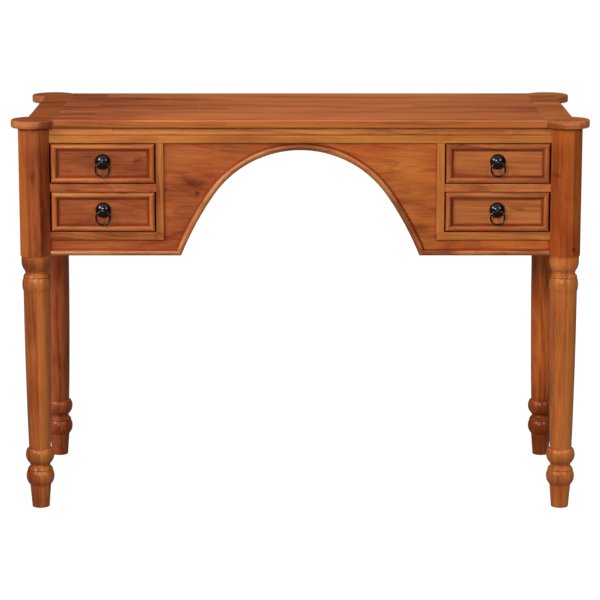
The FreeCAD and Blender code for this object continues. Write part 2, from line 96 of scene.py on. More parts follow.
# Heart of the tree, bands and years round it, how far fibres bend, and the tone of fully dark or light wood
HEART_PLACE = (0.0, 14.0, 62.0)
HEART_LEAN = (0.0, math.radians(-4.5), math.radians(1.5))
BAND_WIDTH = 9.0
YEAR_WIDTH = 6.5
BEND_DEPTH = 34.0
FULL_TONE = 0.8

# Glued-up boards: how far apart in the tree they are cut, their stagger, and the glue lines between them
BOARD_CUTS = (917.0, 173.0, 61.0)
BOARD_STAGGER = 0.41
GLUE_WIDTH = 0.4
GLUE_SOFTNESS = 0.7
GLUE_TONE = -0.5
MAHOGANY = "_stained_mahogany"

# Turns of the grain space: X runs along the fibres, Y across the face and Z into the wood
ALONG_X_FLAT = (0.0, 0.0, 0.0)
ALONG_X = (math.radians(-90), 0.0, 0.0)
ALONG_Z = (math.radians(90), 0.0, math.radians(90))
ALONG_Y = (0.0, math.radians(-90), math.radians(-90))

# Top's upper face, and the depth over which its stain turns into that of its edges
TOP_FACE_Z = 760.0
TOP_EDGE_BLEND = 3.0

# Arch and the bead that follows it
ARCH_HALF_WIDTH = 228.0
ARCH_APEX = 701.7
ARCH_FOOT = 498.5
CROWN_RADIUS = 0.88 * ARCH_HALF_WIDTH
FLANK_RADIUS = 2.64 * ARCH_HALF_WIDTH
BEAD_TOP = 510.0
ARCH_BEAD_WIDTH = 13.0
MITRE_RUN = 8.0

# Strips beside the drawers, round of the drawer moulding, and outer face of the side panels
STILE_INNER_X = 260.0
STRIP_WIDTH = 15.0
ROUND_WIDTH = 11.0
LIP_BLEND = 1.0
SIDE_FACE_X = 513.0


def linear(code):
    """A colour written in sRGB hex, as the linear RGBA that shaders take."""
    parts = [int(code[i:i + 2], 16) / 255 for i in (1, 3, 5)]
    return [c / 12.92 if c <= 0.04045 else ((c + 0.055) / 1.055) ** 2.4 for c in parts] + [1.0]


def add(tree, kind, inputs=None, **settings):
    """A node with its settings, each input either linked from a socket or set to a value."""
    node = tree.nodes.new(kind)
    for name, value in settings.items():
        setattr(node, name, value)
    for name, value in (inputs or {}).items():
        socket = node.inputs[name]
        if isinstance(value, bpy.types.NodeSocket):
            tree.links.new(value, socket)
        else:
            socket.default_value = value
    return node


def new_material(name):
    """An empty material, and the place on the piece in millimetres."""
    material = bpy.data.materials.new(name)
    material.use_nodes = True
    tree = material.node_tree
    tree.nodes.clear()
    where = add(tree, "ShaderNodeTexCoord").outputs["Object"]
    place = add(tree, "ShaderNodeVectorMath", {0: where, 1: (MM_PER_M,) * 3}, operation="MULTIPLY")
    return material, tree, place.outputs[0]


def dress(node, material):
    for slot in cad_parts[node].material_slots:
        slot.material = material


def box_mm(node):
    """Lowest and highest corner of a piece, in millimetres."""
    low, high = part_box(node)
    return Vector(low) * MM_PER_M, Vector(high) * MM_PER_M


# Wood figure, shared by every wooden piece

def make_figure():
    """Colour, height and roughness of a stained hardwood, from the place in the tree."""
    tree = bpy.data.node_groups.new("hardwood_figure", "ShaderNodeTree")
    sockets = (("Vector", "INPUT", "NodeSocketVector"), ("Tone", "INPUT", "NodeSocketFloat"),
               ("Swell", "INPUT", "NodeSocketFloat"), ("Bold", "INPUT", "NodeSocketFloat"),
               ("Stain", "INPUT", "NodeSocketColor"), ("Colour", "OUTPUT", "NodeSocketColor"),
               ("Height", "OUTPUT", "NodeSocketFloat"), ("Roughness", "OUTPUT", "NodeSocketFloat"))
    for name, side, kind in sockets:
        tree.interface.new_socket(name, in_out=side, socket_type=kind)
    given = add(tree, "NodeGroupInput").outputs

    def weighed(*parts, total=0.0):
        """Sum of sockets, each less its middle and times its weight."""
        for socket, weight, middle in parts:
            part = add(tree, "ShaderNodeMath", {0: socket, 1: middle}, operation="SUBTRACT")
            inputs = {0: part.outputs[0], 1: weight, 2: total}
            total = add(tree, "ShaderNodeMath", inputs, operation="MULTIPLY_ADD").outputs[0]
        return total

    def grained(vector, size, detail, roughness=0.5):
        """Noise whose spots are so long and so wide."""
        along, across = size
        space = add(tree, "ShaderNodeVectorMath", {0: vector, 1: (1 / along, 1 / across, 1 / across)},
                    operation="MULTIPLY")
        return add(tree, "ShaderNodeTexNoise", {"Vector": space.outputs[0], "Scale": 1.0, "Detail": detail,
                                                "Roughness": roughness}).outputs

    # Slow bends of the fibres
    bend = grained(given["Vector"], BENDS, 2.0)["Color"]
    sway = add(tree, "ShaderNodeVectorMath", {0: bend, 1: (0.5, 0.5, 0.5)}, operation="SUBTRACT")
    inputs = {0: sway.outputs[0], 1: (0.0, BEND_DEPTH, BEND_DEPTH), 2: given["Vector"]}
    fibre = add(tree, "ShaderNodeVectorMath", inputs, operation="MULTIPLY_ADD").outputs[0]

    # Distance from the heart of the tree, which lies aslant under the face
    heart = add(tree, "ShaderNodeMapping", {"Vector": fibre, "Location": HEART_PLACE, "Rotation": HEART_LEAN})
    heart = add(tree, "ShaderNodeVectorMath", {0: heart.outputs[0], 1: (0.0, 1.0, 1.0)}, operation="MULTIPLY")
    heart = add(tree, "ShaderNodeVectorMath", {0: heart.outputs[0]}, operation="LENGTH").outputs["Value"]
    radius = add(tree, "ShaderNodeMath", {0: heart, 1: given["Swell"]}, operation="ADD").outputs[0]

    # Growth rings: uneven bands, with a thin dark line at the end of some years
    bands = add(tree, "ShaderNodeTexNoise", {"W": radius, "Scale": 1 / BAND_WIDTH, "Detail": 4.0,
                                             "Roughness": 0.62}, noise_dimensions="1D").outputs["Fac"]
    year = add(tree, "ShaderNodeMath", {0: radius, 1: 1 / YEAR_WIDTH}, operation="MULTIPLY")
    year = add(tree, "ShaderNodeMath", {0: year.outputs[0]}, operation="FRACT")
    ring = add(tree, "ShaderNodeMapRange", {"Value": year.outputs[0], "From Min": 0.55, "From Max": 0.97},
               interpolation_type="SMOOTHERSTEP").outputs[0]

    # Clouds of lighter, darker and redder wood, then streaks, lines, fibres and pores
    clouds = grained(given["Vector"], CLOUDS, 3.0, 0.55)
    streaks = grained(fibre, STREAKS, 3.0, 0.6)["Fac"]
    lines = grained(fibre, LINES, 2.0, 0.6)["Fac"]
    fibres = grained(fibre, FIBRES, 2.0)["Fac"]
    pores = grained(fibre, PORES, 1.0)["Fac"]
    pores = add(tree, "ShaderNodeMapRange", {"Value": pores, "From Min": 0.62, "From Max": 0.74}).outputs[0]
    faded = add(tree, "ShaderNodeMath", {0: ring, 1: streaks}, operation="MULTIPLY").outputs[0]

    # Tone, from fully dark through the stain to fully light
    fine = weighed((bands, 1.5, 0.5), (streaks, 1.3, 0.5), (lines, 1.5, 0.5), (fibres, 0.9, 0.5),
                   (faded, -0.45, 0.2), (pores, -0.6, 0.1))
    broad = weighed((clouds["Fac"], 2.2, 0.5), (given["Tone"], 1.0, 0.0))
    inputs = {0: fine, 1: given["Bold"], 2: broad}
    level = add(tree, "ShaderNodeMath", inputs, operation="MULTIPLY_ADD").outputs[0]
    dark, light = [add(tree, "ShaderNodeMix", {"A": given["Stain"], "B": shift, "Factor": 1.0},
                       data_type="RGBA", blend_type="MULTIPLY").outputs["Result"]
                   for shift in (DARK_SHIFT, LIGHT_SHIFT)]
    low = add(tree, "ShaderNodeMapRange", {"Value": level, "From Min": -FULL_TONE, "From Max": 0.0})
    high = add(tree, "ShaderNodeMapRange", {"Value": level, "From Min": 0.0, "From Max": FULL_TONE})
    colour = add(tree, "ShaderNodeMix", {"Factor": low.outputs[0], "A": dark, "B": given["Stain"]},
                 data_type="RGBA").outputs["Result"]
    colour = add(tree, "ShaderNodeMix", {"Factor": high.outputs[0], "A": colour, "B": light},
                 data_type="RGBA").outputs["Result"]
    hues = add(tree, "ShaderNodeSeparateColor", {"Color": clouds["Color"]}).outputs
    red = add(tree, "ShaderNodeMapRange", {"Value": hues["Green"], "From Min": 0.42, "From Max": 0.66})
    colour = add(tree, "ShaderNodeMix", {"A": colour, "B": RED_SHIFT, "Factor": red.outputs[0]},
                 data_type="RGBA", blend_type="MULTIPLY").outputs["Result"]

    # Relief and gloss, which pores and the ends of years break
    height = weighed((fibres, 0.3, 0.5), (pores, -0.5, 0.0), (faded, -0.2, 0.0))
    rough = weighed((fibres, 0.1, 0.5), (clouds["Fac"], 0.15, 0.5), (pores, 0.15, 0.0), total=SATIN)
    add(tree, "NodeGroupOutput", {"Colour": colour, "Height": height, "Roughness": rough})
    return tree


FIGURE = make_figure()


def face_mark(x, z, width, height, tone, swell=0.0, tilt=0.0):
    """A knot or streak right through a board, with its half width, half height and tilt in degrees."""
    return (x, 0.0, z), (width, ANYWHERE, height), tilt, tone, swell


def add_marks(tree, place, marks):
    """Tone and swell of knots and streaks, each with its middle, reach, tilt, tone and swell."""
    tone = 0.0
    swell = 0.0
    for middle, reach, tilt, mark_tone, mark_swell in marks:
        inputs = {"Vector": place, "Location": middle, "Scale": reach,
                  "Rotation": (0.0, math.radians(tilt), 0.0)}
        near = add(tree, "ShaderNodeMapping", inputs, vector_type="TEXTURE").outputs[0]
        far = add(tree, "ShaderNodeVectorMath", {0: near}, operation="LENGTH").outputs["Value"]
        spot = add(tree, "ShaderNodeMapRange", {"Value": far, "From Min": 1.0, "From Max": 0.0},
                   interpolation_type="SMOOTHERSTEP").outputs[0]
        inputs = {0: spot, 1: mark_tone, 2: tone}
        tone = add(tree, "ShaderNodeMath", inputs, operation="MULTIPLY_ADD").outputs[0]
        inputs = {0: spot, 1: mark_swell, 2: swell}
        swell = add(tree, "ShaderNodeMath", inputs, operation="MULTIPLY_ADD").outputs[0]
    return tone, swell


def finish_wood(tree, grain, stain, tone=0.0, swell=0.0, bold=1.0):
    """Satin lacquer on stained wood, darkened by painted shade in corners and creases, and lighter on edges,
    partly rubbed lacquer and partly painted highlight.
    """
    figure = add(tree, "ShaderNodeGroup", {"Vector": grain, "Tone": tone, "Swell": swell, "Bold": bold,
                                           "Stain": stain}, node_tree=FIGURE).outputs
    # Painted shade: the colour darkens where ambient occlusion finds a corner, crease or gap
    open_to_air = add(tree, "ShaderNodeAmbientOcclusion", {"Distance": CORNER_SHADE_REACH}, samples=6).outputs["AO"]
    out_of_corner_shade = add(tree, "ShaderNodeMapRange", {"Value": open_to_air, "From Min": 0.35, "From Max": 0.9})
    corner_shaded = add(tree, "ShaderNodeMix", {"A": figure["Colour"], "B": CORNER_SHADE_SHIFT, "Factor": 1.0},
                 data_type="RGBA", blend_type="MULTIPLY").outputs["Result"]
    colour = add(tree, "ShaderNodeMix", {"Factor": out_of_corner_shade.outputs[0], "A": corner_shaded, "B": figure["Colour"]},
                 data_type="RGBA").outputs["Result"]
    # Partly painted highlight: convex edges are made lighter, both as rubbed lacquer and as edges catching
    # light
    inner = add(tree, "ShaderNodeAmbientOcclusion", {"Distance": EDGE_WEAR_AND_HIGHLIGHT_REACH}, samples=4, inside=True,
                only_local=True).outputs["AO"]
    rubbed = add(tree, "ShaderNodeMapRange", {"Value": inner, "From Min": 0.9, "From Max": 0.4,
                                              "To Min": 1.0, "To Max": EDGE_WEAR_AND_HIGHLIGHT_GAIN})
    colour = add(tree, "ShaderNodeVectorMath", {0: colour, 1: rubbed.outputs[0]}, operation="MULTIPLY")
    relief = add(tree, "ShaderNodeBump", {"Height": figure["Height"], "Strength": 0.02, "Distance": 0.0004})
    surface = add(tree, "ShaderNodeBsdfPrincipled", {
        "Base Color": colour.outputs[0], "Roughness": figure["Roughness"], "Normal": relief.outputs[0],
        "IOR": 1.4, "Specular Tint": AMBER, "Coat Weight": 0.06, "Coat Roughness": 0.28, "Coat IOR": 1.45})
    add(tree, "ShaderNodeOutputMaterial", {"Surface": surface.outputs[0]})


def plain_wood(name, turn, shift, stain, marks=(), bold=1.0, stretch=1.0):
    """Wood from one plank, with its grain all one way: long streaks and now and then a knot."""
    material, tree, place = new_material(name)
    grain = add(tree, "ShaderNodeMapping", {"Vector": place, "Rotation": turn, "Location": shift}).outputs[0]
    inputs = {0: grain, 1: (1 / stretch, 1.0, 1.0)}
    grain = add(tree, "ShaderNodeVectorMath", inputs, operation="MULTIPLY").outputs[0]
    tone, swell = add_marks(tree, place, marks)
    finish_wood(tree, grain, linear(stain), tone, swell, bold)
    return material


def jointed_wood(name, turn, shift, stain, board, spread, marks=(), edge_stain=None, bold=1.0, stretch=1.0):
    """Wood glued up from boards of one length and width, with its own tone and figure on each board."""
    material, tree, place = new_material(name)
    grain = add(tree, "ShaderNodeMapping", {"Vector": place, "Rotation": turn, "Location": shift}).outputs[0]
    boards = add(tree, "ShaderNodeTexBrick", {
        "Vector": grain, "Scale": 1.0, "Brick Width": board[0], "Row Height": board[1], "Bias": 0.0,
        "Color1": (0, 0, 0, 1), "Color2": (1, 1, 1, 1), "Mortar": (0.2, 0.2, 0.2, 1),
        "Mortar Size": GLUE_WIDTH, "Mortar Smooth": GLUE_SOFTNESS}, offset=BOARD_STAGGER).outputs
    inputs = {0: boards["Color"], 1: BOARD_CUTS, 2: grain}
    cut = add(tree, "ShaderNodeVectorMath", inputs, operation="MULTIPLY_ADD").outputs[0]
    inputs = {0: cut, 1: (1 / stretch, 1.0, 1.0)}
    cut = add(tree, "ShaderNodeVectorMath", inputs, operation="MULTIPLY").outputs[0]
    tone, swell = add_marks(tree, place, marks)
    inputs = {0: boards["Color"], 1: spread, 2: tone}
    tone = add(tree, "ShaderNodeMath", inputs, operation="MULTIPLY_ADD").outputs[0]
    tone = add(tree, "ShaderNodeMath", {0: tone, 1: spread / 2}, operation="SUBTRACT").outputs[0]
    inputs = {0: boards["Fac"], 1: GLUE_TONE, 2: tone}
    tone = add(tree, "ShaderNodeMath", inputs, operation="MULTIPLY_ADD").outputs[0]
    height = add(tree, "ShaderNodeSeparateXYZ", {"Vector": place}).outputs["Z"]
    below = add(tree, "ShaderNodeMapRange", {"Value": height, "From Min": TOP_FACE_Z,
                                             "From Max": TOP_FACE_Z - TOP_EDGE_BLEND}).outputs[0]
    inputs = {"Factor": below, "A": linear(stain), "B": linear(edge_stain or stain)}
    stained = add(tree, "ShaderNodeMix", inputs, data_type="RGBA").outputs["Result"]
    finish_wood(tree, cut, stained, tone, swell, bold)
    return material


# Top

TOP_PIECES = ("top_middle", "top_end_left", "top_end_right")
TOP_BOARDS = (620.0, 92.0)
END_BOARDS = (900.0, 182.0)
TOP_MARKS = [
    # Pale lines where boards are joined end to end
    ((-263.0, 89.0, 0.0), (2.2, 70.0, ANYWHERE), 0, 0.7, 0),
    ((-200.0, 28.0, 0.0), (2.2, 160.0, ANYWHERE), 0, 0.55, 0),
    # A dark streak and a dark joint to the right
    ((178.0, 97.0, 0.0), (26.0, 7.0, ANYWHERE), 0, -0.6, 0),
    ((464.0, 62.0, 0.0), (3.0, 60.0, ANYWHERE), 0, -0.5, 0),
    # Painted reflection making the middle lighter, and painted shade darkening the left; then lighter along
    # the right of the front edge
    ((90.0, 0.0, TOP_FACE_Z), (560.0, ANYWHERE, ANYWHERE), 0, 0.6, 0),
    ((-470.0, 0.0, TOP_FACE_Z), (300.0, ANYWHERE, ANYWHERE), 0, -0.35, 0),
    ((520.0, -228.0, 749.0), (400.0, 60.0, 14.0), 0, 1.7, 0),
]
TOP_ENDS = {
    "left": {"out": -1, "stain": "#a95726", "edge": "#b06a42", "cut": (0.0, 46.0, 70.0),
             "notch_shadow_tone": -1.4, "ear_shade_tone": -0.3},
    "right": {"out": 1, "stain": "#ca7239", "edge": "#c87d47", "cut": (200.0, 46.0, 70.0),
              "notch_shadow_tone": -1.1, "ear_shade_tone": -0.5},
}
# Painted shadow in the notch beside each ear, and painted shade on the top of each ear
NOTCH_PLACE = (478.0, -238.0, 748.0)
NOTCH_REACH = (46.0, 32.0, 22.0)
EAR_PLACE = (506.5, -212.0, 761.0)
EAR_REACH = (60.0, 60.0, 5.0)


def dress_top():
    """Boards along the desk, and end pieces with painted shade on the front ears and a painted shadow in the
    notches there.
    """
    wood = jointed_wood("top_middle" + MAHOGANY, ALONG_X_FLAT, (140.0, 18.0, 20.0), STAINS["top"], TOP_BOARDS,
                        spread=0.35, marks=TOP_MARKS, edge_stain=STAINS["top_edge"], bold=0.9, stretch=2.5)
    dress("top_middle", wood)
    for side, end in TOP_ENDS.items():
        marks = []
        for (x, y, z), reach, tone in ((NOTCH_PLACE, NOTCH_REACH, end["notch_shadow_tone"]),
                                       (EAR_PLACE, EAR_REACH, end["ear_shade_tone"])):
            marks.append(((end["out"] * x, y, z), reach, 0, tone, 0))
        node = "top_end_" + side
        wood = jointed_wood(node + MAHOGANY, ALONG_X_FLAT, end["cut"], end["stain"], END_BOARDS,
                            spread=0.16, marks=marks, edge_stain=end["edge"], bold=0.8, stretch=2.0)
        dress(node, wood)


# Legs: stain, then right edge and tone of each of three staves, in the post and in the shaft

# Stave tones are partly the staves' own wood and partly painted light: the front left post's left stave is
# painted lighter and its right stave darker, as if lit from the left
LEGS = {
    "front_left": {"post": ("#954a20", ((-13.0, 0.75), (9.0, -0.25), (40.0, -0.5))),
                   "shaft": ("#a05628", ((2.0, -0.12), (17.0, 0.5), (40.0, 0.15)))},
    "front_right": {"post": ("#9e4b1c", ((-16.0, -0.1), (10.0, 0.15), (40.0, 0.2))),
                    "shaft": ("#ac5e2c", ((5.0, 0.08), (19.0, 0.75), (40.0, 0.55)))},
    "back_left": {"post": ("#9a4c28", ((-10.0, 0.0), (8.0, -0.3), (40.0, 0.0))),
                  "shaft": ("#a8562d", ((-6.0, -0.1), (8.0, -0.3), (40.0, -0.15)))},
    "back_right": {"post": ("#a4532a", ((-10.0, 0.1), (8.0, -0.1), (40.0, 0.2))),
                   "shaft": ("#b65c28", ((-6.0, 0.2), (8.0, -0.15), (40.0, 0.0)))},
}
STAVE_BLEND = 0.7
LEG_BOLD = 0.75
# Knots, then broad changes of tone at the top, the neck and the foot
LEG_MARKS = {
    "front_left": [
        face_mark(-508.0, 652.0, 9.0, 22.0, -0.5, 8),
        face_mark(-506.5, 735.0, 90.0, 50.0, 0.4),
        face_mark(-506.5, 481.0, 90.0, 24.0, -0.8),
        face_mark(-506.5, 0.0, 90.0, 60.0, -0.5),
    ],
    "front_right": [
        face_mark(488.0, 655.0, 16.0, 7.0, -0.6, 9),
        face_mark(522.0, 512.0, 7.0, 7.0, -1.0, 6),
        face_mark(515.0, 612.0, 20.0, 14.0, -0.3, 4),
        face_mark(506.5, 735.0, 90.0, 50.0, 0.4),
        face_mark(506.5, 481.0, 90.0, 24.0, 0.6),
    ],
    "back_left": [],
    "back_right": [
        face_mark(502.0, 460.0, 6.0, 8.0, -0.9, 7),
        face_mark(506.5, 60.0, 90.0, 150.0, -1.0),
    ],
}


def leg_wood(side, shift):
    """Mahogany glued up from three upright staves, turned below and left eight-sided above."""
    material, tree, place = new_material("leg_" + side + MAHOGANY)
    low, high = box_mm("leg_" + side)
    axis = (low + high) / 2
    inputs = {"Vector": place, "Rotation": ALONG_Z, "Location": shift}
    grain = add(tree, "ShaderNodeMapping", inputs).outputs[0]
    parts = add(tree, "ShaderNodeSeparateXYZ", {"Vector": place}).outputs
    above = add(tree, "ShaderNodeMath", {0: parts["Z"], 1: ARCH_FOOT}, operation="GREATER_THAN").outputs[0]
    across = add(tree, "ShaderNodeMath", {0: parts["X"], 1: axis.x}, operation="SUBTRACT").outputs[0]
    stains = []
    tones = []
    for stain, staves in (LEGS[side]["shaft"], LEGS[side]["post"]):
        stains.append(linear(stain))
        tone = staves[0][1]
        for (edge, one), (_, after) in zip(staves, staves[1:]):
            step = add(tree, "ShaderNodeMapRange", {"Value": across, "From Min": edge - STAVE_BLEND,
                                                    "From Max": edge + STAVE_BLEND, "To Max": after - one})
            tone = add(tree, "ShaderNodeMath", {0: step.outputs[0], 1: tone}, operation="ADD").outputs[0]
        tones.append(tone)
    tone = add(tree, "ShaderNodeMix", {"Factor": above, "A": tones[0], "B": tones[1]}).outputs["Result"]
    stain = add(tree, "ShaderNodeMix", {"Factor": above, "A": stains[0], "B": stains[1]}, data_type="RGBA")
    knots, swell = add_marks(tree, place, LEG_MARKS[side])
    tone = add(tree, "ShaderNodeMath", {0: tone, 1: knots}, operation="ADD").outputs[0]
    finish_wood(tree, grain, stain.outputs["Result"], tone, swell, LEG_BOLD)
    return material


def dress_legs():
    for index, side in enumerate(LEGS):
        dress("leg_" + side, leg_wood(side, (310.0 * index, 23.0 * index, 35.0)))


# Front, back and side boards

# Knots and streaks of the front panels, then broad changes of tone
PANELS = {
    "left": {"cut": (30.0, -600.0, 10.0), "marks": [
        face_mark(-197.0, 618.0, 8.0, 8.0, -0.9, 6),
        face_mark(-203.0, 640.0, 38.0, 18.0, -0.4, 3, 25),
        face_mark(-256.0, 626.0, 4.0, 5.0, -1.0, 3),
        face_mark(-225.0, 585.0, 60.0, 26.0, -0.1, 10),
        face_mark(-170.0, 690.0, 170.0, 45.0, 0.3),
        face_mark(-376.0, 512.0, 160.0, 40.0, 0.35),
    ]},
    "right": {"cut": (810.0, -575.0, 30.0), "marks": [
        face_mark(176.0, 662.0, 44.0, 15.0, -0.1, 6, -20),
        face_mark(160.0, 630.0, 30.0, 4.0, -0.5),
        face_mark(232.0, 548.0, 46.0, 24.0, -0.45, 6, 12),
        face_mark(376.0, 512.0, 160.0, 40.0, 0.35),
        face_mark(150.0, 692.0, 120.0, 40.0, 0.3),
    ]},
}
FRONT_PANEL_BOLD = 0.7
SIDE_BOARDS = (2000.0, 84.0)
RAIL_BOARDS = (760.0, 600.0)
FRIEZE_LINE = 3.5


def dress_boards():
    """Panels with a calm grain along the desk, sides glued up from boards, and rails with long streaks."""
    for index, (side, panel) in enumerate(PANELS.items()):
        stain = STAINS["panel_" + side]
        node = "front_panel_" + side
        dress(node, plain_wood(node + MAHOGANY, ALONG_X, panel["cut"], stain, panel["marks"],
                               bold=FRONT_PANEL_BOLD))
        node = "back_panel_" + side
        dress(node, plain_wood(node + MAHOGANY, ALONG_X, (400.0 * index, -590.0, 90.0), stain))
        for piece, apart, depth in (("side_panel_", 300.0, 40.0), ("bank_side_", 170.0, 90.0)):
            node = piece + side
            cut = (apart * index, 5.0, depth)
            dress(node, jointed_wood(node + MAHOGANY, ALONG_Y, cut, stain, SIDE_BOARDS, spread=0.35))
    strip_top = box_mm("frieze_strips")[1].z
    line = face_mark(0.0, strip_top, ANYWHERE, FRIEZE_LINE, -0.9)
    for index, node in enumerate(("front_rail", "back_rail")):
        cut = (45.0 + 200.0 * index, -600.0, 60.0)
        dress(node, jointed_wood(node + MAHOGANY, ALONG_X, cut, STAINS["frieze"], RAIL_BOARDS,
                                 spread=0.12, marks=[line], bold=0.9, stretch=2.5))


# Strips and beads, with the grain along each strip

STRIP_TONES = (-0.16, 0.38)
LOW_STRIP_TONE = -0.28
STRIP_BOLD = 0.65
STILE_MARKS = [
    face_mark(-275.0, 620.0, 8.0, 260.0, -0.4),
    face_mark(-263.0, 620.0, 7.0, 260.0, 0.4),
]
FRIEZE_TONE = 0.05
FRIEZE_BOLD = 0.8
FRIEZE_STRETCH = 2.5
# Painted shade on the bead's crown and right flank, where less light falls
BEAD_SHADE_MARKS = [
    face_mark(0.0, 705.0, 210.0, 60.0, -0.8),
    face_mark(215.0, 560.0, 140.0, 150.0, -0.8),
]
BEAD_SHIFT = (0.0, -505.0, 0.0)
# Painted shade in the bead's outer crease: its edges outside the rim in millimetres, and its depth
CREASE_SHADE_EDGES = (-2.7, -1.3)
CREASE_SHADE_DEPTH = 0.8


def aside_of(tree, parts):
    """How far a place is from the middle of the desk, to the left or right."""
    return add(tree, "ShaderNodeMath", {0: parts["X"]}, operation="ABSOLUTE").outputs[0]


def strip_grain(tree, place, stands, shift):
    """Grain along strips that meet at mitres: stands says where a strip is upright."""
    lying = add(tree, "ShaderNodeMapping", {"Vector": place, "Rotation": ALONG_X, "Location": shift})
    standing = add(tree, "ShaderNodeMapping", {"Vector": place, "Rotation": ALONG_Z, "Location": shift})
    grain = add(tree, "ShaderNodeMix", {"Factor": stands, "A": lying.outputs[0], "B": standing.outputs[0]},
                data_type="VECTOR")
    return grain.outputs["Result"]


def dress_frame_strips():
    """Strips beside and below the drawers, lighter at the right, and two-toned along the left upright."""
    material, tree, place = new_material("frame_strip" + MAHOGANY)
    parts = add(tree, "ShaderNodeSeparateXYZ", {"Vector": place}).outputs
    strip_bottom = box_mm("frame_strips")[0].z
    rise = add(tree, "ShaderNodeMath", {0: parts["Z"], 1: aside_of(tree, parts)}, operation="SUBTRACT")
    stands = add(tree, "ShaderNodeMath", {0: rise.outputs[0], 1: strip_bottom - STILE_INNER_X},
                 operation="GREATER_THAN").outputs[0]
    tone = add(tree, "ShaderNodeMapRange", {"Value": parts["X"], "From Min": -1.0, "From Max": 1.0,
                                            "To Min": STRIP_TONES[0], "To Max": STRIP_TONES[1]}).outputs[0]
    under = add(tree, "ShaderNodeMath", {0: parts["Z"], 1: strip_bottom + STRIP_WIDTH}, operation="LESS_THAN")
    inputs = {0: under.outputs[0], 1: LOW_STRIP_TONE, 2: tone}
    tone = add(tree, "ShaderNodeMath", inputs, operation="MULTIPLY_ADD").outputs[0]
    streaks = add_marks(tree, place, STILE_MARKS)[0]
    tone = add(tree, "ShaderNodeMath", {0: tone, 1: streaks}, operation="ADD").outputs[0]
    grain = strip_grain(tree, place, stands, (90.0, -30.0, 15.0))
    finish_wood(tree, grain, linear(STAINS["strip"]), tone, bold=STRIP_BOLD)
    dress("frame_strips", material)


def dress_frieze_strips():
    """Strips with long streaks, along the front and back and round the sides."""
    material, tree, place = new_material("frieze_strip" + MAHOGANY)
    parts = add(tree, "ShaderNodeSeparateXYZ", {"Vector": place}).outputs
    beside = add(tree, "ShaderNodeMath", {0: aside_of(tree, parts), 1: SIDE_FACE_X}, operation="GREATER_THAN")
    inputs = {"Vector": place, "Rotation": ALONG_X, "Location": (310.0, -722.0, 40.0)}
    lying = add(tree, "ShaderNodeMapping", inputs).outputs[0]
    inputs = {"Vector": place, "Rotation": ALONG_Y, "Location": (0.0, -722.0, 40.0)}
    backward = add(tree, "ShaderNodeMapping", inputs).outputs[0]
    grain = add(tree, "ShaderNodeMix", {"Factor": beside.outputs[0], "A": lying, "B": backward},
                data_type="VECTOR").outputs["Result"]
    inputs = {0: grain, 1: (1 / FRIEZE_STRETCH, 1.0, 1.0)}
    grain = add(tree, "ShaderNodeVectorMath", inputs, operation="MULTIPLY").outputs[0]
    finish_wood(tree, grain, linear(STAINS["frieze_strip"]), FRIEZE_TONE, bold=FRIEZE_BOLD)
    dress("frieze_strips", material)


def arch_arcs():
    """Middle, radius and start of the run along the crown and the flank, and the angle where the two meet."""
    crown_z = ARCH_APEX - CROWN_RADIUS
    spare = FLANK_RADIUS - CROWN_RADIUS
    drop = ARCH_FOOT - crown_z
    reach = math.hypot(ARCH_HALF_WIDTH, drop)
    share = (FLANK_RADIUS ** 2 - spare ** 2 - reach ** 2) / (2 * spare * reach)
    turn = math.atan2(ARCH_HALF_WIDTH, drop) - math.acos(share)
    flank = (-spare * math.sin(turn), crown_z - spare * math.cos(turn))
    crown_arc = ((0.0, crown_z), CROWN_RADIUS, 0.0)
    flank_arc = (flank, FLANK_RADIUS, turn * (CROWN_RADIUS - FLANK_RADIUS))
    return (crown_arc, flank_arc), turn


